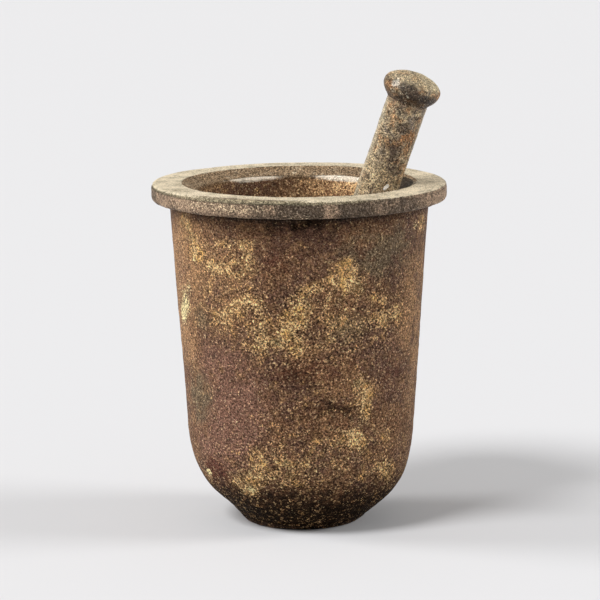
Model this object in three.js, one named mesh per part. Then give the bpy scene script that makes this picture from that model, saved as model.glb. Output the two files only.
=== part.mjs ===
// Cast-iron mortar and pestle, as two separate castings.
// Millimetres, +Z up. The origin is the centre of the face the mortar stands on.
// The pestle stands in the bowl, leaning to the right (+X) on the edge of the throat.
import * as THREE from "three";

const DEG = Math.PI / 180;

// Mortar, outside.
const HEIGHT = 192;
const RIM_RADIUS = 82.5;
const RIM_THICKNESS = 10;
const RIM_ROUNDING = 2.6;
const SHOULDER_RADIUS = 72.4; // body just under the rim
const SHOULDER_ROUNDING = 1.5;
const HEEL_RADIUS = 61.6; // where the wall and the base slope would meet if they were sharp
const HEEL_HEIGHT = 29.4;
const HEEL_ROUNDING = 61;
const FOOT_TOP_RADIUS = 36.2;
const FOOT_HEIGHT = 3.6;
const FOOT_RADIUS = 32;
const FOOT_ROUNDING = 1.5;

// Mortar, inside.
const MOUTH_RADIUS = 65.6; // inner edge of the flat rim
const MOUTH_ROUNDING = 1.2;
const THROAT_RADIUS = 56.3; // bottom of the bevel inside the rim
const BEVEL_DROP = 4.5;
const THROAT_ROUNDING = 1.6;
const FLOOR_HEIGHT = 19;
const BOWL_RADIUS = 47; // where the inner wall would meet the floor if it were sharp
const BOWL_ROUNDING = 49;

// Pestle, in its own frame: tip at the origin, axis along +Z.
const PESTLE_LENGTH = 246;
const HEAD_RADIUS = 18.5;
const HEAD_BELLY = 44; // height of the end of the head's straight part
const HEAD_SHOULDER = 92; // height where the head has thinned to the shaft
const HEAD_ROUNDING = 60;
const SHAFT_RADIUS = 11.35;
const KNOB_RADIUS = 16;
const KNOB_DOME = 8; // from the knob's widest ring to its top
const KNOB_SKIRT = 11; // half height of the ellipse that the knob's underside follows down to the shaft

// How the pestle stands in the mortar.
const LEAN = 19.3 * DEG;
const LEAN_AZIMUTH = -16 * DEG; // to the front of +X
const CLEARANCE = 0.4; // gap left where the castings touch

const MORTAR_SEGMENTS = 64;
const PESTLE_SEGMENTS = 40;
const CHORD_ERROR = 0.15; // how far a straight step may cut inside its arc

function arcSteps(radius, turn) {
  return Math.max(2, Math.ceil(turn / (2 * Math.acos(1 - CHORD_ERROR / radius))));
}

// Points of an outline given as sharp corners [radius, height, rounding]; rounded corners become arcs.
function roundedOutline(corners) {
  const points = [];
  corners.forEach(([r, z, rounding = 0], i) => {
    const corner = new THREE.Vector2(r, z);
    if (!rounding) {
      points.push(corner);
      return;
    }
    const before = new THREE.Vector2(corners[i - 1][0], corners[i - 1][1]).sub(corner).normalize();
    const after = new THREE.Vector2(corners[i + 1][0], corners[i + 1][1]).sub(corner).normalize();
    const halfAngle = Math.acos(before.dot(after)) / 2;
    const toCentre = rounding / Math.sin(halfAngle);
    const centre = before.clone().add(after).setLength(toCentre).add(corner);
    const reach = rounding / Math.tan(halfAngle);
    const start = before.multiplyScalar(reach).add(corner).sub(centre);
    const turn = Math.PI - 2 * halfAngle;
    const side = Math.sign(start.cross(after.multiplyScalar(reach).add(corner).sub(centre)));
    const steps = arcSteps(rounding, turn);
    for (let k = 0; k <= steps; k++) {
      const spoke = start.clone().rotateAround(new THREE.Vector2(), (side * turn * k) / steps);
      points.push(spoke.add(centre));
    }
  });
  return points;
}

// Points on a quarter of an ellipse about the axis, from one angle to another.
function axialQuarter(centreHeight, radius, reach, fromAngle, toAngle) {
  const clockwise = toAngle < fromAngle;
  const curve = new THREE.EllipseCurve(0, centreHeight, radius, reach, fromAngle, toAngle, clockwise);
  const points = curve.getPoints(arcSteps(radius, 90 * DEG));
  points.forEach((point) => {
    if (point.x < 1e-6) point.x = 0;
  });
  return points;
}

// A solid of revolution about +Z.
function turned(name, outline, segments, material) {
  const geometry = new THREE.LatheGeometry(outline, segments);
  geometry.rotateX(90 * DEG);
  const mesh = new THREE.Mesh(geometry, material);
  mesh.name = name;
  return mesh;
}

function rustedIron() {
  return new THREE.MeshStandardMaterial({ color: 0x6d4c38, roughness: 0.86, metalness: 0.35 });
}

function handledIron() {
  return new THREE.MeshStandardMaterial({ color: 0x85745c, roughness: 0.72, metalness: 0.4 });
}

// Deep tapering cup with a heavy rounded base, a low foot and a broad flat rim.
function makeMortar() {
  const rimUnderside = HEIGHT - RIM_THICKNESS;
  const outline = roundedOutline([
    [0, 0],
    [FOOT_RADIUS, 0, FOOT_ROUNDING],
    [FOOT_TOP_RADIUS, FOOT_HEIGHT],
    [HEEL_RADIUS, HEEL_HEIGHT, HEEL_ROUNDING],
    [SHOULDER_RADIUS, rimUnderside, SHOULDER_ROUNDING],
    [RIM_RADIUS, rimUnderside, RIM_ROUNDING],
    [RIM_RADIUS, HEIGHT, RIM_ROUNDING],
    [MOUTH_RADIUS, HEIGHT, MOUTH_ROUNDING],
    [THROAT_RADIUS, HEIGHT - BEVEL_DROP, THROAT_ROUNDING],
    [BOWL_RADIUS, FLOOR_HEIGHT, BOWL_ROUNDING],
    [0, FLOOR_HEIGHT],
  ]);
  return turned("mortar", outline, MORTAR_SEGMENTS, rustedIron());
}

// Swollen rounded head, plain round shaft and a flattened knob to hold.
function makePestle() {
  const knobMiddle = PESTLE_LENGTH - KNOB_DOME;
  const meetsShaft = Math.acos(SHAFT_RADIUS / KNOB_RADIUS); // angle round the underside's ellipse
  const shaftTop = knobMiddle - KNOB_SKIRT * Math.sin(meetsShaft);
  const outline = [
    ...axialQuarter(HEAD_RADIUS, HEAD_RADIUS, HEAD_RADIUS, -90 * DEG, 0).slice(0, -1),
    ...roundedOutline([
      [HEAD_RADIUS, HEAD_RADIUS],
      [HEAD_RADIUS, HEAD_BELLY, HEAD_ROUNDING],
      [SHAFT_RADIUS, HEAD_SHOULDER, HEAD_ROUNDING],
      [SHAFT_RADIUS, shaftTop],
    ]),
    ...axialQuarter(knobMiddle, KNOB_RADIUS, KNOB_SKIRT, -meetsShaft, 0).slice(1),
    ...axialQuarter(knobMiddle, KNOB_RADIUS, KNOB_DOME, 0, 90 * DEG).slice(1),
  ];
  return turned("pestle", outline, PESTLE_SEGMENTS, handledIron());
}

// Places the pestle so that its shaft bears on the throat and its head bears on the bowl floor.
function standPestle(pestle) {
  const throatHeight = HEIGHT - BEVEL_DROP - THROAT_ROUNDING;
  const axisAtThroat = THROAT_RADIUS - CLEARANCE - SHAFT_RADIUS / Math.cos(LEAN);
  // The bowl's floor is a sphere about bowlCentre; the head's end is a sphere that nests in it.
  const bowlCentre = FLOOR_HEIGHT + BOWL_ROUNDING;
  const reach = BOWL_ROUNDING - HEAD_RADIUS - CLEARANCE;
  const axisAtBowlCentre = axisAtThroat - (throatHeight - bowlCentre) * Math.tan(LEAN);
  const offset = axisAtBowlCentre * Math.cos(LEAN);
  const along = axisAtBowlCentre * Math.sin(LEAN) + Math.sqrt(reach ** 2 - offset ** 2);
  const tipDown = along + HEAD_RADIUS;
  pestle.rotation.y = LEAN;
  pestle.position.set(
    axisAtBowlCentre - tipDown * Math.sin(LEAN),
    0,
    bowlCentre - tipDown * Math.cos(LEAN),
  );
  const plane = new THREE.Group();
  plane.rotation.z = LEAN_AZIMUTH;
  plane.add(pestle);
  return plane;
}

const mortarAndPestle = new THREE.Group();
mortarAndPestle.add(makeMortar());
mortarAndPestle.add(standPestle(makePestle()));

export default mortarAndPestle;
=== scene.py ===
"""Cast-iron mortar and pestle: visual castings, materials, light and camera around the CAD frame."""
import math

import bpy
import numpy as np
from mathutils import Matrix, Vector, noise


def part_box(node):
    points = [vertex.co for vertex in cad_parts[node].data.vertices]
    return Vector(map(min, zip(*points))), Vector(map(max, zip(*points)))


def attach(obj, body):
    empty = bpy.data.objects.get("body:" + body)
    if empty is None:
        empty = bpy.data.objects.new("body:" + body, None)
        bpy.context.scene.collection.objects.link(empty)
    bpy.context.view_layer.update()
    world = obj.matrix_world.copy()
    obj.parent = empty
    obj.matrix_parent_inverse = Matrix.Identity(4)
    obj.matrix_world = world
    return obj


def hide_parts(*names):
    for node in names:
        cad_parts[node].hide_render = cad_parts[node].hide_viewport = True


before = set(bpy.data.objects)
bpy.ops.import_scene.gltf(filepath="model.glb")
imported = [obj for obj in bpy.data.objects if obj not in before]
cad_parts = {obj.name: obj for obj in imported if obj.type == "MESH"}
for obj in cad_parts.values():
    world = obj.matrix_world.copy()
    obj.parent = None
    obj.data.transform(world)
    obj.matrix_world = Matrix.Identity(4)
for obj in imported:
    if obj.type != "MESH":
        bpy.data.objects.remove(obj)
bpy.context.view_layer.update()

MM = 0.001  # lengths below are in millimetres unless they say metres

# ---------------------------------------------------------------- outlines
# Each outline row is: radius, height, rounding of that corner, then the spacing of mesh rows
# and the zone of the stretch that follows it.
UNDERSIDE, FOOT, BODY, RIM_UNDER, RIM_FACE, RIM_TOP, BEVEL, BOWL = range(8)
MORTAR_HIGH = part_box("mortar")[1] / MM
HEIGHT = MORTAR_HIGH.z
RIM_RADIUS = MORTAR_HIGH.x
RIM_THICKNESS = 10
RIM_BOTTOM = HEIGHT - RIM_THICKNESS
FOOT_HEIGHT = 3.6
FLOOR = 19
THROAT_RADIUS = 56.3
THROAT_DROP = 4.5  # from the rim's top down to the throat's edge
MORTAR_OUTLINE = [
    (0, 0, 0, 3.0, UNDERSIDE),
    (32.0, 0, 1.5, 0.8, FOOT),
    (36.2, FOOT_HEIGHT, 0.8, 1.25, BODY),
    (61.6, 29.4, 61.0, 1.25, BODY),
    (72.4, RIM_BOTTOM, 1.5, 0.9, RIM_UNDER),
    (RIM_RADIUS, RIM_BOTTOM, 2.6, 0.6, RIM_FACE),
    (RIM_RADIUS, HEIGHT, 2.6, 1.0, RIM_TOP),
    (65.6, HEIGHT, 1.2, 0.7, BEVEL),
    (THROAT_RADIUS, HEIGHT - THROAT_DROP, 1.6, 2.6, BOWL),
    (47.0, FLOOR, 49.0, 2.6, BOWL),
    (0, FLOOR, 0, 1.0, BOWL),
]
MORTAR_COLUMNS = 330

HEAD, SHAFT, KNOB = range(3)
HEAD_RADIUS = 18.5
HEAD_BELLY = 44  # height of the end of the head's straight part
HEAD_SHOULDER = 92  # height where the head has thinned to the shaft
HEAD_ROUNDING = 60
SHAFT_RADIUS = 11.35
KNOB_RADIUS = 16.0
KNOB_DOME = 8.0  # from the knob's widest ring to its top
KNOB_SKIRT = 11.0  # half height of the ellipse under the widest ring
KNOB_UNDER = 7.8  # from the widest ring down to where the knob meets the shaft
PESTLE_COLUMNS = 120
PESTLE_SPACING = 0.9


def arc_points(centre, radius, start, turn, step=math.radians(3)):
    """Points on an arc, as (radius, height)."""
    angles = start + np.linspace(0, turn, max(3, int(abs(turn) / step) + 2))
    return [(centre[0] + radius * math.cos(a), centre[1] + radius * math.sin(a)) for a in angles]


def rounded_corner(before, corner, after, rounding):
    """Points of the arc that rounds a corner, tangent to both of its sides."""
    before, corner, after = (np.array(p, float) for p in (before, corner, after))
    to_before = (before - corner) / np.linalg.norm(before - corner)
    to_after = (after - corner) / np.linalg.norm(after - corner)
    half = math.acos(float(to_before @ to_after)) / 2
    middle = to_before + to_after
    centre = corner + middle / np.linalg.norm(middle) * rounding / math.sin(half)
    first = corner + to_before * rounding / math.tan(half) - centre
    last = corner + to_after * rounding / math.tan(half) - centre
    side = math.copysign(1, first[0] * last[1] - first[1] * last[0])
    start = math.atan2(first[1], first[0])
    return arc_points(centre, rounding, start, side * (math.pi - 2 * half))


def spaced_outline(corners):
    """Rows of the outline through rounded corners, as arrays of radius, height and zone."""
    points, spacing, zones = [], [], []
    for i, (r, z, rounding, gap, zone) in enumerate(corners):
        run = [(r, z)]
        if rounding:
            run = rounded_corner(corners[i - 1][:2], (r, z), corners[i + 1][:2], rounding)
        for k, point in enumerate(run):
            arriving = i > 0 and k < len(run) / 2
            points.append(point)
            spacing.append(corners[i - 1][3] if arriving else gap)
            zones.append(corners[i - 1][4] if arriving else zone)
    points = np.array(points)
    lengths = np.linalg.norm(np.diff(points, axis=0), axis=1)
    rows = np.concatenate([[0], np.cumsum(lengths / np.array(spacing)[:-1])])
    at = np.linspace(0, rows[-1], int(rows[-1]) + 1)
    zone_at = np.array(zones)[np.clip(np.searchsorted(rows, at, side="right") - 1, 0, len(zones) - 1)]
    return np.interp(at, rows, points[:, 0]), np.interp(at, rows, points[:, 1]), zone_at


def pestle_outline(length):
    """The pestle's outline from tip to knob, in its own frame."""
    knob_middle = length - KNOB_DOME
    meets_shaft = math.acos(SHAFT_RADIUS / KNOB_RADIUS)
    tip = arc_points((0, HEAD_RADIUS), HEAD_RADIUS, -math.pi / 2, math.pi / 2)
    rows = [(max(r, 0.0), z, 0, PESTLE_SPACING, HEAD) for r, z in tip]
    rows += [
        (HEAD_RADIUS, HEAD_BELLY, HEAD_ROUNDING, PESTLE_SPACING, HEAD),
        (SHAFT_RADIUS, HEAD_SHOULDER, HEAD_ROUNDING, PESTLE_SPACING, SHAFT),
        (SHAFT_RADIUS, knob_middle - KNOB_UNDER - 0.4, 0.5, 0.5, KNOB),
    ]
    under = arc_points((0, 0), 1, 0.1 - meets_shaft, meets_shaft - 0.1)
    rows += [(r * KNOB_RADIUS, knob_middle + h * KNOB_SKIRT, 0, 0.6, KNOB) for r, h in under]
    dome = arc_points((0, 0), 1, 0, math.pi / 2)[1:]
    rows += [(max(r, 0.0) * KNOB_RADIUS, knob_middle + h * KNOB_DOME, 0, 0.7, KNOB) for r, h in dome]
    return rows


# ---------------------------------------------------------------- surfaces of revolution
class Turned:
    """Points, normals and zones of a surface of revolution, ready to be given relief and made a mesh."""

    def __init__(self, corners, columns):
        radius, height, zone = spaced_outline(corners)
        along_r, along_z = np.gradient(radius), np.gradient(height)
        length = np.hypot(along_r, along_z)
        self.columns = columns
        self.rows = len(radius) - 2
        turn = np.arange(columns) * 2 * math.pi / columns
        self.azimuth = np.degrees(np.tile(np.where(turn > math.pi, turn - 2 * math.pi, turn), self.rows))
        # Azimuth 0 is the front (-Y) and 90 is the right (+X).
        out = np.stack([np.sin(turn), -np.cos(turn)], axis=1)
        ring = slice(1, -1)
        self.radius = np.repeat(radius[ring], columns)
        self.height = np.repeat(height[ring], columns)
        self.zone = np.repeat(zone[ring], columns)
        normal_r = np.repeat((along_z / length)[ring], columns)
        normal_z = np.repeat((-along_r / length)[ring], columns)
        spokes = np.tile(out, (self.rows, 1))
        self.points = np.column_stack([spokes * self.radius[:, None], self.height])
        self.normals = np.column_stack([spokes * normal_r[:, None], normal_z])
        self.poles = [(0, 0, height[0]), (0, 0, height[-1])]

    def faces(self):
        """Quads between rings and a fan at each pole. Pole vertices come after the rings."""
        ring = np.arange(self.columns)
        onward = (ring + 1) % self.columns
        quads = []
        for row in range(self.rows - 1):
            low, high = row * self.columns, (row + 1) * self.columns
            quads.append(np.stack([low + ring, low + onward, high + onward, high + ring], axis=1))
        first_pole = self.rows * self.columns
        top = (self.rows - 1) * self.columns
        fans = [(first_pole, int(b), int(a)) for a, b in zip(ring, onward)]
        fans += [(first_pole + 1, int(top + a), int(top + b)) for a, b in zip(ring, onward)]
        return np.concatenate(quads).tolist() + fans

    def build(self, name, relief, masks):
        """Makes the object, moved along its normals by relief, with each mask as a point attribute."""
        moved = (self.points + self.normals * relief[:, None]) * MM
        poles = np.array(self.poles) * MM
        mesh = bpy.data.meshes.new(name)
        mesh.from_pydata(np.vstack([moved, poles]).tolist(), [], self.faces())
        for label, values in masks.items():
            ends = [values[: self.columns].mean(), values[-self.columns :].mean()]
            attribute = mesh.attributes.new(label, "FLOAT", "POINT")
            attribute.data.foreach_set("value", np.append(values, ends).astype(np.float32))
        mesh.shade_smooth()
        mesh.validate()
        piece = bpy.data.objects.new(name, mesh)
        bpy.context.scene.collection.objects.link(piece)
        return piece


# ---------------------------------------------------------------- fields on a surface
def lumps(points, size, octaves=2, shift=0.0):
    """Smooth random field of about -1 to 1 whose features are about size millimetres across."""
    scaled = points / size + shift
    return np.array([noise.fractal(p, 0.8, 2.1, octaves) for p in scaled.tolist()])


def pits(points, cell, reach, shift=0.0):
    """1 at the middle of scattered round pits, falling to 0 at their edges; one candidate per cell."""
    scaled = points / cell + shift
    nearest = np.array([noise.voronoi(p)[0][0] for p in scaled.tolist()])
    return np.clip(1 - nearest / reach, 0, 1) ** 2


def smooth_step(value, low, high):
    t = np.clip((value - low) / (high - low), 0, 1)
    return t * t * (3 - 2 * t)


def blobs(surface, spots):
    """Sum of soft spots given as (azimuth, height, half width in degrees, half height, strength)."""
    total = np.zeros(len(surface.azimuth))
    for azimuth, height, wide, tall, strength in spots:
        across = (surface.azimuth - azimuth + 180) % 360 - 180
        far = (across / wide) ** 2 + ((surface.height - height) / tall) ** 2
        total += strength * np.exp(-0.9 * far)
    return total


# ---------------------------------------------------------------- the mortar's patina, with painted light and shade
# Spots on the body: azimuth (0 front, 90 right), height, half width in degrees, half height, strength.
OCHRE_SPOTS = [
    (-60, 174, 5, 6, 0.9), (-56, 165, 4, 6, 0.9), (-50, 157, 6, 5, 0.9), (-40, 152, 8, 4, 0.9),
    (-30, 152, 7, 5, 1.1), (-25, 161, 5, 7, 1.1), (-34, 165, 6, 3, 0.6), (-46, 136, 4, 7, 0.8),
    (-38, 126, 6, 7, 0.6), (-27, 133, 7, 5, 0.7), (-19, 124, 6, 5, 0.6), (-22, 137, 4, 4, 0.8),
    (-15, 111, 9, 6, 0.9), (-6, 119, 5, 6, 0.6), (-2, 130, 5, 9, 1.1), (7, 143, 6, 3, 0.9),
    (14, 147, 4, 3, 0.6), (13, 134, 6, 5, 0.6), (16, 122, 7, 6, 0.4), (21, 150, 6, 8, 1.2),
    (25, 141, 4, 5, 0.8), (3, 110, 9, 6, 0.4), (36, 123, 5, 4, 0.7), (47, 122, 6, 5, 1.0),
    (52, 129, 3, 6, 0.8), (40, 135, 5, 4, 0.6), (30, 88, 4, 6, 0.9), (33, 77, 5, 7, 1.2),
    (27, 57, 6, 7, 0.8), (49, 55, 5, 5, 0.6), (-22, 46, 4, 6, 0.9), (-8, 45, 4, 2, 1.0),
    (-33, 30, 7, 6, 0.8), (-17, 35, 12, 6, 0.5), (-28, 26, 8, 4, 0.7), (48, 36, 9, 7, 0.6),
    (-9, 36, 9, 4, 0.5), (54, 28, 5, 5, 0.7), (70, 170, 6, 7, 1.1), (5, 122, 52, 17, 0.3),
    (10, 48, 42, 17, 0.45),
]
# Tan patches; those at the body's left and right edges are painted light along the edges.
TAN_AND_EDGE_LIGHT_SPOTS = [
    (-74, 150, 14, 20, 0.9), (-78, 118, 12, 14, 0.7), (-72, 104, 14, 9, 0.8), (-62, 168, 12, 12, 0.5),
    (-44, 148, 22, 24, 0.7), (70, 142, 14, 15, 0.8), (64, 116, 15, 14, 1.0), (78, 90, 11, 13, 0.8),
    (66, 72, 10, 9, 0.5), (82, 62, 9, 8, 0.5),
]
PALE_SPOTS = [
    (-72, 121, 4, 5, 1.0), (-67, 129, 4, 6, 0.9), (-62, 137, 2, 3, 0.6), (-61, 33, 3, 2, 0.8),
    (-29, 27, 3, 2, 0.7), (-55, 155, 2, 2, 0.6), (63, 172, 2, 2, 0.6),
]
ROSE_SPOTS = [
    (-33, 70, 17, 30, 1.0), (-52, 52, 14, 14, 0.8), (-46, 97, 13, 11, 0.7), (-68, 148, 8, 12, 0.4),
    (50, 100, 10, 34, 0.35),
]
RED_SPOTS = [
    (-54, 33, 9, 9, 1.3), (-10, 94, 9, 7, 0.35), (-10, 156, 12, 13, 0.35), (14, 97, 16, 8, 0.4),
    (50, 90, 10, 6, 0.5),
]
GREEN_SPOTS = [
    (-60, 76, 10, 13, 1.1), (40, 160, 20, 14, 0.9), (-52, 122, 8, 8, 0.5), (20, 120, 14, 9, 0.7),
    (26, 68, 8, 6, 0.5),
]
# Dark spots on the body: the two just under the rim and the wide one at the bottom are painted shade.
SOOT_AND_SHADE_SPOTS = [
    (-6, 176, 22, 6, 0.4), (5, 178, 12, 5, 0.4), (0, 7, 80, 11, 1.2), (14, 30, 24, 8, 0.35),
    (8, 76, 20, 10, 0.35), (-6, 93, 14, 8, 0.35), (25, 71, 8, 6, 0.45),
]
GRIT_SPOTS = [
    (5, 122, 52, 22, 0.7), (12, 44, 50, 24, 0.7), (10, 82, 32, 22, 0.25), (-42, 158, 18, 12, 0.5),
    (0, 18, 80, 16, 0.9),
]
BACK_START = 78  # azimuth where the placed spots begin to give way to patches from noise
BACK_FULL = 98  # azimuth where only the noise is left


def body_patina(surface, on_body):
    """Masks for the coloured patches on the outside of the body, with painted light along its left and right
    edges and painted shade low down and under the rim.
    """
    p = surface.points
    behind = smooth_step(np.abs(surface.azimuth), BACK_START, BACK_FULL)
    ragged = 0.7 * lumps(p, 10, 2, 3.1) + 0.5 * lumps(p, 5, 2, 6.4)
    drift = lumps(p, 16, 3, 3.1)
    broad = lumps(p, 42, 3, 8.7)

    def patches(spots, threshold, elsewhere=1.0):
        placed = np.clip(blobs(surface, spots) * (1 + ragged), 0, 1.2)
        scattered = smooth_step(broad * 0.7 + drift * 0.5 + 0.3 * ragged, threshold, threshold + 0.4)
        return (placed * (1 - behind) + scattered * behind * elsewhere) * on_body

    # Between colours the broad noise is turned round the body, so that their patches behind differ.
    masks = {"ochre": patches(OCHRE_SPOTS, 0.1), "rose": patches(ROSE_SPOTS, 0.2)}
    broad = np.roll(broad, surface.columns // 3)
    masks["red"] = patches(RED_SPOTS, 0.25)
    masks["tan"] = patches(TAN_AND_EDGE_LIGHT_SPOTS, 0.15)
    masks["green"] = patches(GREEN_SPOTS, 0.2)
    broad = np.roll(broad, surface.columns // 5)
    # Painted shade: the body darkens towards the bottom and the foot.
    low = smooth_step(-surface.height, -52, -8) * smooth_step(surface.height, -8, FOOT_HEIGHT + 4)
    masks["soot_and_shade"] = np.maximum(patches(SOOT_AND_SHADE_SPOTS, 0.25, 0.6), low * on_body)
    masks["pale"] = blobs(surface, PALE_SPOTS) * (1 + 0.5 * ragged) * on_body
    rougher = 0.35 + blobs(surface, GRIT_SPOTS)
    masks["grit"] = np.clip(rougher * (1 - behind) + (0.6 + broad) * behind, 0.2, 1) * on_body
    masks["grit"] += 0.6 * (1 - on_body)
    return masks


# Dents in the rim's outer edges: azimuth, then width and depth in millimetres.
RIM_NICKS = [(-31, 5.0, 0.35), (12, 4.5, 0.35), (66, 5.0, 0.4), (118, 6.0, 0.6), (-140, 6.0, 0.6)]


def rim_nicks(surface):
    """Depth of the small dents worn into the rim's outer edges."""
    edge = smooth_step(surface.radius, RIM_RADIUS - 3, RIM_RADIUS - 0.5)
    edge *= surface.height > RIM_BOTTOM - 0.5
    depth = np.zeros(len(edge))
    for azimuth, width, deep in RIM_NICKS:
        across = np.radians(surface.azimuth - azimuth) * RIM_RADIUS
        depth += deep * np.exp(-((across / width) ** 2))
    near_corner = np.abs(surface.height - (RIM_BOTTOM + HEIGHT) / 2) / 5
    return depth * edge * smooth_step(near_corner, 0.3, 1.0)


def rim_crease(surface):
    """Thin parting groove round the rim's face, just under its top edge."""
    wander = HEIGHT - 1.9 + 0.3 * np.sin(np.radians(surface.azimuth * 3 + 40))
    left = smooth_step(-np.abs(surface.azimuth + 50), -70, -35)
    near = np.exp(-(((surface.height - wander) / 0.4) ** 2))
    on_face = (surface.zone == RIM_FACE) | (surface.zone == RIM_TOP)
    return near * (0.35 + 0.65 * left) * on_face * (surface.radius > RIM_RADIUS - 2.5)


# Spots on the inside and the rim, some of them painted light and shade.
RIM_FADED = [(-22, HEIGHT, 30, 12, 1.0)]
# Dust on the bevel right of the pestle, partly painted light in the pestle's shadow.
BEVEL_DUST_AND_LIGHT = [(76, HEIGHT - 2, 12, 4, 0.5)]
# Polish on the throat's lip, lightened into a painted highlight at the back-left and back-right.
LIP_WEAR_AND_HIGHLIGHT = [(-151, HEIGHT - 5, 18, 8, 0.7), (153, HEIGHT - 5, 17, 8, 0.9)]
# A smoother, darker band under the throat at the back-left: partly rubbing, partly painted shade.
WALL_RUBBED_AND_SHADED = [(-151, HEIGHT - 10, 36, 20, 1.0)]
# Painted shadow of the pestle on the bevel and throat to its right.
PESTLE_SHADOW_SPOTS = [(98, HEIGHT - 4, 22, 8, 1.8)]
# Painted light on the bowl's wall at the back-right.
WALL_LIT_SPOTS = [(155, HEIGHT - 12, 30, 16, 1.0)]
RIM_WARM = [
    (-50, RIM_BOTTOM + 5, 34, 12, 0.8), (74, RIM_BOTTOM + 5, 28, 12, 0.9), (-22, RIM_BOTTOM + 6, 12, 5, 0.35),
    (12, RIM_BOTTOM + 3, 4, 8, 0.6), (150, RIM_BOTTOM + 4, 40, 12, 0.8),
]
RIM_FLECKS = [
    (1, RIM_BOTTOM + 1, 6, 2, 0.4), (71, RIM_BOTTOM + 1, 5, 2, 0.6),
    (-38, RIM_BOTTOM + 6, 20, 4, 0.5), (-19, RIM_BOTTOM + 5, 11, 3, 0.3),
]

# Where the casting stands out from or falls short of a true round, in millimetres, as spots.
CASTING_SWELLS = [(88, 22, 55, 14, 2.2), (-88, 9, 55, 9, -1.8)]
RIM_SWELLS = [(42, HEIGHT, 30, 30, -0.7)]
RUBBED_HOLLOW = [(74, HEIGHT - THROAT_DROP, 9, 4, -0.2)]  # where the pestle's shaft bears on the throat


def throat_lip(surface):
    """The rounded edge between the bevel and the bowl, where the pestle polishes it."""
    lip = smooth_step(-np.abs(surface.normals[:, 2] - 0.45), -0.53, -0.23)
    return lip * (np.abs(surface.radius - THROAT_RADIUS) < 2) * (surface.height > HEIGHT - 9)


def foot_groove(surface):
    """Thin groove round the base, just above the foot."""
    return np.exp(-(((surface.height - FOOT_HEIGHT - 0.8) / 0.8) ** 2))


def shadow_under_rim(surface):
    """Painted shadow just under the rim, darkest at the front."""
    painted_shadow = 0.55 * smooth_step(surface.height, RIM_BOTTOM - 10, RIM_BOTTOM - 1)
    painted_shadow += 0.45 * smooth_step(surface.height, RIM_BOTTOM - 4, RIM_BOTTOM - 1.5)
    front = smooth_step(-np.abs(surface.azimuth), -65, -25)
    return painted_shadow * (0.5 + 0.5 * front)


def rim_masks(surface, fine):
    """Masks for the dust, stains and flecks on the rim and its bevel, and for the rim edge's wear and painted
    highlight.
    """
    zone = surface.zone
    top_side = surface.normals[:, 2] * (surface.height > HEIGHT - 6)
    dust = smooth_step(top_side + 0.1 * fine, 0.5, 0.8) * np.where(zone == BEVEL, 0.35, 1)
    outer_edge = smooth_step(surface.radius, RIM_RADIUS - 7, RIM_RADIUS - 3)
    dust *= 1 - 0.75 * outer_edge * np.clip(blobs(surface, RIM_FADED), 0, 1)
    dust += blobs(surface, BEVEL_DUST_AND_LIGHT) * (zone == BEVEL)
    rim = ((zone == RIM_FACE) | (zone == RIM_UNDER) | (zone == RIM_TOP)).astype(float)
    # The rounded outer edge of the rim, lightened most at the left: wear with a painted highlight.
    rounded_edge = smooth_step(surface.normals[:, 2], 0.0, 0.4) * (surface.radius > RIM_RADIUS - 3)
    left = smooth_step(-np.abs(surface.azimuth + 40), -80, -40)
    return {
        "dust": dust,
        "bevel": (zone == BEVEL).astype(float),
        "rim": rim,
        "rim_edge": rounded_edge * rim * (0.3 + 0.6 * left),
        "rim_warm": blobs(surface, RIM_WARM),
        "rim_flecks": blobs(surface, RIM_FLECKS),
    }


def inside_masks(surface, lip):
    """Masks for the bowl's wall and the throat."""
    zone = surface.zone
    upper_wall = smooth_step(surface.height, HEIGHT - 26, HEIGHT - 13) * (zone == BOWL)
    near_throat = smooth_step(-surface.radius, -THROAT_RADIUS - 9, -THROAT_RADIUS - 5)
    return {
        "inside": (zone == BOWL).astype(float),
        "wear_and_highlight": lip * (0.3 + blobs(surface, LIP_WEAR_AND_HIGHLIGHT)),
        "rubbed_and_shaded": upper_wall * (0.2 + blobs(surface, WALL_RUBBED_AND_SHADED)),
        "pestle_shadow": blobs(surface, PESTLE_SHADOW_SPOTS) * near_throat * (zone >= BEVEL),
        "inside_lit": blobs(surface, WALL_LIT_SPOTS) * (zone == BOWL),
    }


def mortar_relief(surface, masks, on_body, lip, fine):
    """Unevenness, crust, pits, grooves and wear in millimetres, and a mask of the hollows among them."""
    p, zone = surface.points, surface.zone
    grit = masks["grit"]
    calm = np.select([zone == RIM_TOP, zone == BEVEL, zone == UNDERSIDE], [0.55, 0.5, 0.6], 1.0)
    calm = calm * (1 - 0.8 * lip)
    rough = (0.10 * lumps(p, 6.0, 2, 7.9) + 0.17 * fine * grit) * calm
    pocks = pits(p, 11, 0.26) + 0.7 * pits(p, 6.5, 0.24, 4.2)
    relief = 0.3 * lumps(p, 60, 2, 2.2) + 0.08 * lumps(p, 15, 2, 4.4) * calm + rough
    relief += 0.14 * np.clip(masks["ochre"] * (0.6 + fine), 0, 1)
    relief -= 0.6 * pocks * calm * grit
    relief -= 0.55 * rim_crease(surface) + rim_nicks(surface)
    foot_edge = np.exp(-(((surface.height - FOOT_HEIGHT) / 3) ** 2)) * on_body
    relief += foot_edge * 0.35 * lumps(p, 8, 2, 9.1)
    relief -= 0.6 * foot_groove(surface) * on_body
    relief += blobs(surface, CASTING_SWELLS) * on_body
    relief += blobs(surface, RIM_SWELLS) * (zone == RIM_TOP)
    relief += blobs(surface, RUBBED_HOLLOW) * (zone >= BEVEL)
    standing = surface.height < 0.4  # nothing stands out below the face that the mortar stands on
    return np.where(standing, np.minimum(relief, 0), relief), smooth_step(0.5 * pocks - rough, 0.02, 0.2)


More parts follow.
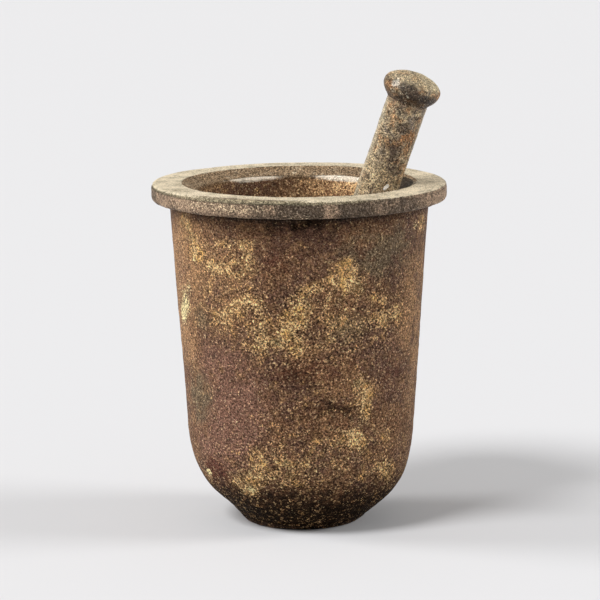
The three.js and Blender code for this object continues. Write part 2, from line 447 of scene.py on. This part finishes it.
def make_mortar():
    surface = Turned(MORTAR_OUTLINE, MORTAR_COLUMNS)
    on_body = ((surface.zone == BODY) | (surface.zone == FOOT)).astype(float)
    lip = throat_lip(surface)
    fine = lumps(surface.points, 2.9, 2, 1.3)
    masks = body_patina(surface, on_body)
    masks.update(rim_masks(surface, fine))
    masks.update(inside_masks(surface, lip))
    masks["crease"] = np.clip(rim_crease(surface) + 0.7 * foot_groove(surface) * on_body, 0, 1)
    masks["under_rim"] = shadow_under_rim(surface) * on_body
    relief, masks["hollow"] = mortar_relief(surface, masks, on_body, lip, fine)
    return surface.build("mortar_casting", relief, masks)


# ---------------------------------------------------------------- the pestle
# Spots on the shaft: azimuth about the pestle's own axis, height from its tip, as above.
PESTLE_RUST = [
    (44, 213, 20, 4, 0.9), (20, 211, 16, 3, 0.6), (-70, 184, 22, 9, 0.6), (-60, 235, 24, 4, 0.45),
]
PESTLE_PALE = [(21, 183.0, 5, 1.1, 1.2), (16, 181.4, 5, 1.3, 1.2)]
PESTLE_WARM = [(-26, 184, 60, 14, 1.2), (40, 178, 40, 9, 0.5), (-40, 224, 30, 10, 0.3)]
PESTLE_DARK = [(6, 203, 20, 8, 1.0), (34, 192, 18, 5, 0.7), (10, 216, 14, 4, 0.7), (-24, 226, 18, 4, 0.5)]
# Painted light along the shaft's left and right edges.
SHAFT_LIGHT = [(-76, 205, 16, 50, 1.0), (78, 222, 14, 22, 0.5)]
# Dark band round the knob's side: partly dark stain, partly painted shade under its lit top.
KNOB_DARK_AND_SHADE = [
    (-8, 238.8, 20, 3.4, 1.4), (36, 235.5, 28, 2.8, 1.3), (-84, 237, 18, 5, 0.8),
    (150, 237, 60, 5, 0.8),
]
# Glossy patches on the knob, lightened into a painted highlight.
KNOB_GLOSS_AND_HIGHLIGHT = [(-40, 239.5, 12, 2.6, 1.0), (10, 241, 5, 1.2, 0.4)]
KNOB_RUST = [(-40, 233.5, 26, 2.0, 0.6), (-4, 232, 20, 1.5, 0.5)]
# Painted light on the knob's top, brightest at the back-right.
KNOB_TOP_LIT_SPOTS = [(110, 243, 70, 6, 1.0)]


def pestle_frame():
    """Matrix from the pestle's own frame (tip at origin, axis +Z) to the CAD's place, and its length."""
    points = np.array([v.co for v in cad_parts["pestle"].data.vertices], float)
    middle = points.mean(axis=0)
    axis = np.linalg.svd(points - middle, full_matrices=False)[2][0]
    axis *= math.copysign(1, axis[2])
    along = (points - middle) @ axis
    tip, top = Vector(points[along.argmin()]), Vector(points[along.argmax()])
    upright = (top - tip).normalized()
    side = Vector((0, 1, 0)).cross(upright).normalized()
    ahead = upright.cross(side)
    turned = Matrix((side, ahead, upright)).transposed().to_4x4()
    return Matrix.Translation(tip) @ turned, (top - tip).length / MM


def shaft_masks(surface):
    """Masks for the stains of the pestle's shaft and the painted light along its edges."""
    return {
        "warm": blobs(surface, PESTLE_WARM),
        "dark": blobs(surface, PESTLE_DARK),
        "pale": blobs(surface, PESTLE_PALE),
        "edge_light": blobs(surface, SHAFT_LIGHT) * (surface.zone == SHAFT),
    }


def knob_masks(surface):
    """Masks for the knob: its top (wear, dust and painted top light), its dark side (stain and painted
    shade), its glossy patches with a painted highlight, its rust, and the painted shade under it.
    """
    knob = surface.zone == KNOB
    top = knob * smooth_step(surface.normals[:, 2], 0.35, 0.8)
    return {
        "knob_top_lit": top * (0.4 + 0.6 * np.clip(blobs(surface, KNOB_TOP_LIT_SPOTS), 0, 1)),
        "knob_side_stain_and_shade": knob * np.clip(blobs(surface, KNOB_DARK_AND_SHADE), 0, 1),
        "knob_under_shade": knob * smooth_step(-surface.normals[:, 2], 0.05, 0.5),
        "knob_rust": knob * blobs(surface, KNOB_RUST),
        "gloss_and_highlight": knob * blobs(surface, KNOB_GLOSS_AND_HIGHLIGHT),
    }


def make_pestle():
    place, length = pestle_frame()
    surface = Turned(pestle_outline(length), PESTLE_COLUMNS)
    p = surface.points
    working = 1 - smooth_step(surface.height, 40, 75)
    calm = 1 - 0.75 * working
    rough = (0.16 * lumps(p, 4.6, 2, 2.7) + 0.13 * lumps(p, 2.0, 2, 6.6)) * calm
    pocks = pits(p, 7, 0.28, 1.7)
    relief = 0.2 * lumps(p, 30, 2, 1.9) + 0.08 * lumps(p, 11, 2, 5.1) + rough - 0.5 * pocks * calm
    neck = length - KNOB_DOME - KNOB_UNDER
    scattered_rust = smooth_step(lumps(p, 14, 3, 9.4), 0.3, 0.7)
    masks = shaft_masks(surface)
    masks.update(knob_masks(surface))
    masks["working"] = working
    masks["hollow"] = smooth_step(0.5 * pocks - rough, 0.02, 0.18)
    masks["rust"] = np.clip(blobs(surface, PESTLE_RUST) + 0.4 * scattered_rust, 0, 1)
    masks["neck"] = np.exp(-(((surface.height - neck) / 2.5) ** 2))
    piece = surface.build("pestle_casting", relief, masks)
    piece.matrix_world = place
    return piece


# ---------------------------------------------------------------- materials
def colour(red, green, blue):
    """Scene-linear colour from 0 to 255 display values."""
    values = [v / 255 for v in (red, green, blue)]
    linear = [v / 12.92 if v <= 0.04045 else ((v + 0.055) / 1.055) ** 2.4 for v in values]
    return (*linear, 1)


class Shader:
    """A material's node tree, with short calls for the nodes that the finishes use."""

    def __init__(self, name):
        self.material = bpy.data.materials.new(name)
        self.material.use_nodes = True
        self.tree = self.material.node_tree
        self.tree.nodes.clear()
        self.position = self.node("ShaderNodeTexCoord").outputs["Object"]

    def node(self, kind, inputs=None, **settings):
        made = self.tree.nodes.new(kind)
        for key, value in settings.items():
            setattr(made, key, value)
        for key, value in (inputs or {}).items():
            if isinstance(value, bpy.types.NodeSocket):
                self.tree.links.new(value, made.inputs[key])
            else:
                made.inputs[key].default_value = value
        return made

    def noise(self, size, detail=2, rough=0.55, seed=0.0):
        """Noise of 0 to 1 with features about size millimetres across."""
        inputs = {"Vector": self.position, "W": seed, "Scale": 1 / (size * MM)}
        inputs.update({"Detail": detail, "Roughness": rough})
        return self.node("ShaderNodeTexNoise", inputs, noise_dimensions="4D").outputs["Fac"]

    def vector_maths(self, operation, inputs):
        return self.node("ShaderNodeVectorMath", inputs, operation=operation).outputs[0]

    def grains(self, size, warp):
        """Packed grains about size millimetres across: distance from the middle, then random values."""
        frequency = 1 / (size * MM)
        shift = self.node("ShaderNodeTexNoise", {"Vector": self.position, "Scale": frequency, "Detail": 1})
        centred = self.vector_maths("SUBTRACT", {0: shift.outputs["Color"], 1: (0.5, 0.5, 0.5)})
        scaled = self.vector_maths("SCALE", {0: centred, "Scale": warp * MM})
        moved = self.vector_maths("ADD", {0: self.position, 1: scaled})
        cells = self.node("ShaderNodeTexVoronoi", {"Vector": moved, "Scale": frequency})
        values = self.node("ShaderNodeSeparateColor", {0: cells.outputs["Color"]})
        return cells.outputs["Distance"], *values.outputs[:3]

    def mask(self, name):
        return self.node("ShaderNodeAttribute", attribute_name=name).outputs["Fac"]

    def maths(self, operation, a, b=0.0):
        return self.node("ShaderNodeMath", {0: a, 1: b}, operation=operation).outputs[0]

    def add(self, a, b):
        return self.maths("ADD", a, b)

    def times(self, a, b):
        return self.maths("MULTIPLY", a, b)

    def step(self, value, low, high, to_low=0.0, to_high=1.0):
        inputs = {"Value": value, "From Min": low, "From Max": high, "To Min": to_low, "To Max": to_high}
        return self.node("ShaderNodeMapRange", inputs, interpolation_type="SMOOTHSTEP").outputs["Result"]

    def spread(self, value, strength):
        """A random value of 0 to 1, centred on 0 and scaled, to roughen a threshold."""
        return self.times(self.add(value, -0.5), strength)

    def patch(self, name, low, high, *roughening):
        """A mask made into a patch with ragged edges by pairs of noise and strength."""
        value = self.mask(name)
        for ragged, strength in roughening:
            value = self.add(value, self.spread(ragged, strength))
        return self.step(value, low, high)

    def mix(self, factor, a, b, blend="MIX"):
        made = self.node("ShaderNodeMix", {0: factor, 6: a, 7: b}, data_type="RGBA", blend_type=blend)
        return made.outputs[2]

    def shade(self, base, value):
        """Multiplies a colour by a grey value."""
        grey = self.node("ShaderNodeCombineColor", {0: value, 1: value, 2: value}).outputs[0]
        return self.mix(1.0, base, grey, "MULTIPLY")

    def finish(self, base, roughness, metallic, specular, height, depth):
        """Joins the colour, shine and bump to the surface. depth is in millimetres."""
        bump = self.node("ShaderNodeBump", {"Height": height, "Distance": depth * MM, "Strength": 1.0})
        inputs = {"Base Color": base, "Roughness": roughness, "Metallic": metallic,
                  "Specular IOR Level": specular, "Normal": bump.outputs[0]}
        surface = self.node("ShaderNodeBsdfPrincipled", inputs)
        output = self.node("ShaderNodeOutputMaterial")
        self.tree.links.new(surface.outputs[0], output.inputs["Surface"])
        return self.material


class RustedIron(Shader):
    """Shader with the grain of blistered rust: raised crumbs, dark pits between them and finer roughness."""

    def __init__(self, name, crumb, grain, warp, fine, mottle):
        """Crumb, grain and warp are sizes in millimetres; fine and mottle are size, detail, rough, seed."""
        super().__init__(name)
        self.scale = self.noise(crumb, 3, 0.7)
        self.peak = self.step(self.scale, 0.48, 0.64)
        self.reach, self.chance, self.tint, self.value = self.grains(grain, warp)
        self.fine = self.noise(*fine)
        self.mottle = self.noise(*mottle)


BROWN = colour(132, 94, 66)
PURPLE_BROWN = colour(112, 80, 64)
TAN_BROWN = colour(168, 128, 90)
TAN_AND_EDGE_LIGHT = colour(186, 142, 100)
OCHRE = colour(240, 202, 146)
OCHRE_YELLOW = colour(232, 184, 114)
OCHRE_OLIVE = colour(180, 154, 108)
OCHRE_DEEP = colour(186, 142, 94)
PALE = colour(250, 230, 172)
ROSE = colour(142, 103, 85)
DARK_RED = colour(98, 50, 38)
GREEN_GREY = colour(120, 104, 80)
SOOT_AND_SHADE_DARK = colour(24, 15, 8)
PIT = colour(20, 11, 4)
DUST = colour(244, 228, 198)
DUST_DARK = colour(150, 138, 112)
BEVEL_TAN = colour(166, 140, 108)
RIM_GREY = colour(94, 82, 69)
RIM_EDGE_WEAR_AND_HIGHLIGHT = colour(158, 148, 120)
RIM_PALE = colour(196, 178, 146)
RIM_TAN = colour(166, 141, 117)
INSIDE_RUST = colour(218, 180, 130)
INSIDE_DARK = colour(118, 80, 54)
RUBBED_AND_SHADE = colour(98, 70, 52)
POLISH_HIGHLIGHT = colour(240, 228, 208)
BODY_PATCHES = (
    ("tan", TAN_AND_EDGE_LIGHT, 0.8), ("rose", ROSE, 0.85), ("red", DARK_RED, 0.8), ("green", GREEN_GREY, 0.75),
)


def body_colours(s, tone):
    """Broad browns of the body with its tinted patches."""
    cloud = s.noise(24, 3, 0.6, seed=7.0)
    base = s.mix(s.step(cloud, 0.38, 0.62), BROWN, PURPLE_BROWN)
    base = s.mix(s.times(s.step(s.add(tone, s.spread(s.tint, 0.3)), 0.45, 0.7), 0.6), base, TAN_BROWN)
    for name, paint, strength in BODY_PATCHES:
        amount = s.patch(name, 0.1, 0.8, (s.mottle, 1.0))
        base = s.mix(s.times(amount, strength), base, paint)
    return base


def inside_colours(s, base):
    """Rust of the bowl's wall, lightened with painted light at the back-right, and smoother and darker in a
    band under the throat that is partly rubbing and partly painted shade.
    """
    inside = s.step(s.add(s.times(s.mottle, 0.35), s.times(s.scale, 0.65)), 0.42, 0.58)
    inside = s.mix(inside, INSIDE_DARK, INSIDE_RUST)
    # Painted light: the wall is lightened at the back-right.
    inside = s.shade(inside, s.step(s.mask("inside_lit"), 0, 1, 0.83, 1.5))
    base = s.mix(s.times(s.mask("inside"), 0.9), base, inside)
    return s.mix(s.times(s.mask("rubbed_and_shaded"), 0.85), base, RUBBED_AND_SHADE)


def ochre_crust(s, base, tone):
    """Crumbs of ochre over a deeper stain. Also gives the crust, and the crust with its loose specks."""
    ochre = s.add(s.mask("ochre"), s.add(s.spread(s.mottle, 1.6), s.spread(tone, 0.8)))
    base = s.mix(s.step(ochre, 0.1, 1.1, 0, 0.7), base, OCHRE_DEEP)
    crust = s.step(s.add(ochre, s.add(s.spread(s.scale, 4.0), s.spread(s.chance, 0.5))), 0.5, 1.1)
    specks = s.step(s.add(s.spread(s.scale, 2.0), s.chance), 0.75, 1.1)
    specks = s.times(specks, s.step(s.mask("grit"), 0.3, 0.9, 0.05, 0.6))
    specks = s.times(specks, s.step(s.mask("rose"), 0.1, 0.7, 1, 0.15))
    crusted = s.maths("MAXIMUM", crust, specks)
    yellow = s.mix(s.step(s.add(tone, s.spread(s.mottle, 0.6)), 0.5, 0.64), OCHRE, OCHRE_YELLOW)
    yellow = s.mix(s.step(s.noise(13, 2, 0.6, seed=21.0), 0.54, 0.66), yellow, OCHRE_OLIVE)
    base = s.mix(crusted, base, s.mix(s.step(s.tint, 0.1, 0.6), OCHRE_DEEP, yellow))
    return base, crust, crusted


def pale_soot_and_shade(s, base, crusted):
    """Pale deposit; sooty dark between the crumbs, which is painted shade at the bottom and just under the
    rim; and the painted shadow under the rim.
    """
    pale = s.patch("pale", 0.35, 0.75, (s.scale, 3.4))
    base = s.mix(pale, base, PALE)
    soot_and_shade = s.patch("soot_and_shade", 0.15, 0.95, (s.mottle, 1.2))
    soot_and_shade = s.times(soot_and_shade, s.step(s.add(s.chance, s.spread(s.scale, 1.5)), 0.75, 1.15, 0.94, 0.15))
    soot_and_shade = s.times(s.times(soot_and_shade, s.step(crusted, 0, 1, 1, 0.35)), s.step(pale, 0, 1, 1, 0))
    base = s.mix(soot_and_shade, base, SOOT_AND_SHADE_DARK)
    # The under_rim mask paints the shadow under the rim in pit colour.
    return s.mix(s.times(s.mask("under_rim"), 0.92), base, PIT)


def rim_colours(s, base, tone):
    """Grey and tan of the rim, with pale flecks and a lighter edge that is partly wear and partly painted
    highlight, and tan of the bevel.
    """
    rim = s.mix(s.patch("rim_warm", 0.1, 0.8, (tone, 2.4), (s.scale, 0.9)), RIM_GREY, RIM_TAN)
    rim = s.mix(s.patch("rim_flecks", 0.5, 0.9, (s.fine, 2.6), (s.scale, 1.6)), rim, RIM_PALE)
    edge = s.patch("rim_edge", 0.2, 0.8, (s.scale, 1.2))
    rim = s.mix(s.times(edge, 0.85), rim, RIM_EDGE_WEAR_AND_HIGHLIGHT)
    base = s.mix(s.times(s.mask("rim"), 0.92), base, rim)
    return s.mix(s.times(s.mask("bevel"), 0.85), base, BEVEL_TAN)


def grain_shading(s, base):
    """Lightens the crumbs and darkens the gaps, most where the surface is gritty, and darkens the foot with
    painted shade.
    """
    base = s.shade(base, s.step(s.value, 0, 1, 0.85, 1.15))
    raised = s.times(s.peak, s.step(s.mask("grit"), 0.35, 0.85, 0.45, 1))
    lift = s.times(s.step(raised, 0, 1, 0.92, 1.7), s.step(s.fine, 0.38, 0.62, 0.46, 1.8))
    base = s.shade(base, s.maths("MINIMUM", lift, 2.3))
    return s.shade(base, s.step(s.mask("soot_and_shade"), 0.85, 1.15, 1, 0.62))


def dust_wear_and_painted_light(s, base, tone):
    """Dust on the rim, polish with a painted highlight on the throat's edge, and the pestle's painted shadow
    on the bevel. Also gives dust and polish.
    """
    dust = s.patch("dust", 0.35, 0.7, (s.mottle, 0.8), (s.scale, 0.9))
    powder = s.mix(s.step(s.add(tone, s.spread(s.fine, 2.0)), 0.2, 0.62), DUST_DARK, DUST)
    base = s.mix(s.times(dust, 0.92), base, powder)
    wear_and_highlight = s.patch("wear_and_highlight", 0.45, 0.8, (s.mottle, 0.7))
    # Painted highlight: the polished lip is lightened almost to white.
    base = s.mix(s.times(wear_and_highlight, 0.75), base, POLISH_HIGHLIGHT)
    # Painted shadow of the pestle, in pit colour.
    pestle_shadow = s.patch("pestle_shadow", 0.25, 0.8, (s.mottle, 0.6))
    return s.mix(s.times(pestle_shadow, 0.85), base, PIT), dust, wear_and_highlight


def mortar_pits(s, dust, wear_and_highlight):
    """How rough the surface is, and how strongly its pits show."""
    calm = s.add(s.maths("MAXIMUM", s.times(dust, 0.5), wear_and_highlight), s.times(s.mask("rose"), 0.2))
    calm = s.add(calm, s.add(s.times(s.mask("inside"), 0.25), s.times(s.mask("rubbed_and_shaded"), 0.8)))
    calm = s.add(calm, s.add(s.times(s.mask("rim"), 0.5), s.times(s.mask("inside_lit"), 0.4)))
    rough = s.times(s.step(calm, 0, 1, 1, 0.25), s.step(s.mask("grit"), 0, 1, 0.72, 1))
    pit = s.step(s.scale, 0.5, 0.38)
    pitted = s.add(s.times(pit, 0.9), s.times(s.step(s.reach, 0.45, 0.8), 0.1))
    pitted = s.maths("MAXIMUM", s.times(pitted, rough), s.times(s.mask("hollow"), 0.55))
    # The crease mask paints shade into the rim's crease and the foot's groove.
    return rough, s.maths("MAXIMUM", pitted, s.times(s.mask("crease"), 0.8))


def mortar_finish():
    fine, mottle = (0.6, 2, 0.7, 2.0), (4.5, 3, 0.6, 3.0)
    s = RustedIron("mortar_rusted_iron", 1.08, 1.5, 1.7, fine, mottle)
    tone = s.noise(9, 3, 0.65, seed=11.0)
    base = inside_colours(s, body_colours(s, tone))
    base, crust, crusted = ochre_crust(s, base, tone)
    base = pale_soot_and_shade(s, base, crusted)
    base = grain_shading(s, rim_colours(s, base, tone))
    base, dust, wear_and_highlight = dust_wear_and_painted_light(s, base, tone)
    rough, pitted = mortar_pits(s, dust, wear_and_highlight)
    base = s.mix(pitted, base, PIT)

    polish = s.add(s.times(wear_and_highlight, 0.32), s.times(s.mask("rubbed_and_shaded"), 0.2))
    roughness = s.add(s.step(s.fine, 0.3, 0.7, 0.72, 0.5), s.times(polish, -1.0))
    metallic = s.add(0.05, s.times(wear_and_highlight, 0.35))
    specular = s.add(s.step(s.peak, 0, 1, 0.1, 0.5), s.times(wear_and_highlight, 0.4))
    specular = s.times(specular, s.step(s.mask("soot_and_shade"), 0, 1, 1, 0.12))
    height = s.add(s.scale, s.add(s.times(s.fine, 0.35), s.times(s.reach, -0.2)))
    height = s.times(s.add(height, s.times(crust, 0.1)), rough)
    return s.finish(base, roughness, metallic, specular, height, 3.2)


SHAFT_CREAM = colour(206, 184, 148)
SHAFT_TAN = colour(166, 142, 112)
SHAFT_ORANGE = colour(190, 140, 92)
SHAFT_GREY = colour(136, 124, 114)
SHAFT_WARM = colour(236, 210, 166)
SHAFT_DARK = colour(94, 75, 64)
SHAFT_RUST = colour(190, 134, 82)
SHAFT_EDGE_LIGHT = colour(232, 216, 184)
NECK_RUST_AND_SHADE = colour(140, 98, 64)
KNOB_TOP_LIT = colour(240, 220, 178)
KNOB_SIDE_STAIN_AND_SHADE = colour(62, 48, 38)
KNOB_STAIN = colour(168, 120, 78)
KNOB_HIGHLIGHT = colour(216, 208, 194)
KNOB_SHADE = colour(54, 36, 22)
FLECK = colour(242, 230, 200)
SPOT_WHITE = colour(252, 248, 236)
BARE_IRON = colour(104, 94, 84)


def shaft_colours(s):
    """Handled browns and greys of the shaft, with dark stains and rust."""
    cloud = s.noise(11, 3, 0.65, seed=9.0)
    tone = s.noise(6, 3, 0.6, seed=15.0)
    base = s.mix(s.step(cloud, 0.42, 0.6), SHAFT_CREAM, SHAFT_TAN)
    base = s.mix(s.step(tone, 0.5, 0.62, 0, 0.75), base, SHAFT_ORANGE)
    base = s.mix(s.step(tone, 0.48, 0.38, 0, 0.75), base, SHAFT_GREY)
    base = s.mix(s.times(s.mask("warm"), 0.7), base, SHAFT_WARM)
    gloom = s.step(s.add(s.mottle, s.times(s.mask("dark"), 0.2)), 0.5, 0.7)
    gloom = s.times(gloom, s.step(s.mask("knob_top_lit"), 0, 1, 1, 0.5))
    base = s.mix(s.times(gloom, 0.85), base, SHAFT_DARK)
    rust = s.patch("rust", 0.4, 0.85, (s.mottle, 1.6), (s.scale, 1.6))
    base = s.mix(s.times(rust, 0.75), base, SHAFT_RUST)
    # Painted light along the shaft's edges.
    return s.mix(s.times(s.mask("edge_light"), 0.75), base, SHAFT_EDGE_LIGHT)


def knob_colours(s, base):
    """Top of wear, dust and painted top light, dark side of stain and painted shade, rust, glossy painted
    highlight, and painted shade under the knob and at its neck. Also gives the dark side and the glossy
    highlight.
    """
    # Painted light: the knob's upward face is lightened, with dust.
    base = s.mix(s.times(s.mask("knob_top_lit"), 0.9), base, KNOB_TOP_LIT)
    # Stain and painted shade on the knob's side.
    side = s.patch("knob_side_stain_and_shade", 0.3, 1.0, (s.mottle, 1.2), (s.scale, 1.8))
    base = s.mix(s.times(side, 0.88), base, KNOB_SIDE_STAIN_AND_SHADE)
    stain = s.patch("knob_rust", 0.3, 0.8, (s.mottle, 1.2))
    base = s.mix(s.times(stain, 0.7), base, KNOB_STAIN)
    # Painted highlight on the knob's glossy patches.
    gloss_and_highlight = s.patch("gloss_and_highlight", 0.3, 0.8, (s.scale, 1.4))
    base = s.mix(s.times(gloss_and_highlight, 0.75), base, KNOB_HIGHLIGHT)
    # Rust and painted shade in the corner where the knob meets the shaft.
    base = s.mix(s.times(s.mask("neck"), 0.4), base, NECK_RUST_AND_SHADE)
    # Painted shade under the knob, weaker where it is rust-stained.
    under = s.times(s.mask("knob_under_shade"), s.step(stain, 0, 1, 0.7, 0.3))
    return s.mix(under, base, KNOB_SHADE), side, gloss_and_highlight


def pestle_grain(s, base):
    """Light crumbs, pale flecks and dark pits of the pestle's surface."""
    base = s.shade(base, s.step(s.value, 0, 1, 0.75, 1.25))
    base = s.shade(base, s.step(s.peak, 0, 1, 0.85, 1.5))
    base = s.shade(base, s.step(s.fine, 0.38, 0.62, 0.5, 1.65))
    flecks = s.step(s.add(s.add(s.chance, s.spread(s.scale, 2.0)), s.spread(s.mottle, 0.5)), 0.95, 1.25)
    base = s.mix(s.times(flecks, 0.85), base, FLECK)
    pitted = s.maths("MAXIMUM", s.times(s.step(s.scale, 0.49, 0.37), 0.92), s.times(s.mask("hollow"), 0.6))
    smoothed = s.maths("MAXIMUM", s.mask("knob_top_lit"), s.mask("edge_light"))
    return s.mix(s.times(pitted, s.step(smoothed, 0, 1, 1, 0.4)), base, PIT)


def pestle_finish():
    fine, mottle = (0.55, 2, 0.6, 6.0), (3.2, 3, 0.65, 4.0)
    s = RustedIron("pestle_handled_iron", 0.95, 1.3, 1.4, fine, mottle)
    working = s.mask("working")
    base, side, gloss_and_highlight = knob_colours(s, shaft_colours(s))
    base = pestle_grain(s, base)
    spot = s.patch("pale", 0.4, 0.7, (s.scale, 1.0))
    base = s.mix(spot, base, SPOT_WHITE)
    base = s.shade(base, s.step(spot, 0, 1, 1, 1.8))
    base = s.mix(s.times(working, 0.75), base, BARE_IRON)

    shine = s.add(s.add(s.times(side, 0.12), s.times(gloss_and_highlight, 0.2)), s.times(working, 0.15))
    shine = s.add(shine, s.times(spot, 0.2))
    roughness = s.add(s.step(s.fine, 0.3, 0.7, 0.58, 0.4), s.times(shine, -1.0))
    metallic = s.add(s.add(0.08, s.times(side, 0.3)), s.times(working, 0.5))
    specular = s.add(s.step(s.peak, 0, 1, 0.2, 0.6), s.add(s.times(side, 0.3), s.times(spot, 0.5)))
    height = s.times(s.add(s.scale, s.times(s.fine, 0.3)), s.step(working, 0, 1, 1, 0.35))
    height = s.times(height, s.step(gloss_and_highlight, 0, 1, 1, 0.5))
    return s.finish(base, roughness, metallic, specular, height, 2.6)


# ---------------------------------------------------------------- studio
CAMERA_DISTANCE = 1.8  # metres from the mortar's axis
CAMERA_HEIGHT = 0.434
CAMERA_PITCH = 9.753  # degrees below the horizon
CAMERA_ROLL = 0.4  # degrees; the object's top leans to the left in the picture
LENS = 195.3  # millimetres of focal length, as is the sensor's width
SENSOR = 36
FLOOR_HALF = 12.0  # metres
FLOOR_GREY = colour(214, 214, 216)
SKY_COLOUR = (1.0, 0.98, 0.95, 1)
SKY_STRENGTH = 0.32


def soft_sun(name, azimuth, elevation, strength, spread):
    """Even light from a large soft source: azimuth 0 is the front, 90 the right."""
    turn, rise = math.radians(azimuth), math.radians(elevation)
    towards = Vector((math.sin(turn) * math.cos(rise), -math.cos(turn) * math.cos(rise), math.sin(rise)))
    data = bpy.data.lights.new(name, "SUN")
    data.energy = strength
    data.angle = math.radians(spread)
    lamp = bpy.data.objects.new(name, data)
    lamp.rotation_euler = towards.to_track_quat("Z", "Y").to_euler()
    bpy.context.scene.collection.objects.link(lamp)


def make_studio():
    soft_sun("key_softbox", -48, 50, 2.1, 20)
    soft_sun("left_softbox", -100, 22, 1.9, 24)
    soft_sun("right_softbox", 88, 28, 1.4, 24)
    world = bpy.data.worlds.new("studio")
    world.use_nodes = True
    background = world.node_tree.nodes["Background"]
    background.inputs["Color"].default_value = SKY_COLOUR
    background.inputs["Strength"].default_value = SKY_STRENGTH
    bpy.context.scene.world = world
    bpy.context.scene.view_settings.view_transform = "Standard"


def make_floor():
    """A large flat pale floor that fills the view behind the object."""
    corners = [(x * FLOOR_HALF, y * FLOOR_HALF, 0) for x, y in ((-1, -1), (1, -1), (1, 1), (-1, 1))]
    mesh = bpy.data.meshes.new("floor")
    mesh.from_pydata(corners, [], [(0, 1, 2, 3)])
    floor = bpy.data.objects.new("floor", mesh)
    bpy.context.scene.collection.objects.link(floor)
    s = Shader("pale_floor")
    surface = s.node("ShaderNodeBsdfPrincipled", {"Base Color": FLOOR_GREY, "Roughness": 0.9})
    output = s.node("ShaderNodeOutputMaterial")
    s.tree.links.new(surface.outputs[0], output.inputs["Surface"])
    mesh.materials.append(s.material)


def make_camera():
    data = bpy.data.cameras.new("camera")
    data.lens = LENS
    data.sensor_width = SENSOR
    data.clip_end = 50
    camera = bpy.data.objects.new("camera", data)
    look = Matrix.Rotation(math.radians(90 - CAMERA_PITCH), 4, "X")
    roll = Matrix.Rotation(math.radians(-CAMERA_ROLL), 4, "Z")
    camera.matrix_world = Matrix.Translation((0, -CAMERA_DISTANCE, CAMERA_HEIGHT)) @ look @ roll
    bpy.context.scene.collection.objects.link(camera)
    bpy.context.scene.camera = camera


# ---------------------------------------------------------------- assembly
def place(piece, material, body, node, slot):
    piece.data.materials.append(material)
    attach(piece, body)
    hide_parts(node)


place(make_mortar(), mortar_finish(), "mortar", "mortar", "mortar_iron")
place(make_pestle(), pestle_finish(), "pestle", "pestle", "pestle_iron")
make_floor()
make_studio()
make_camera()
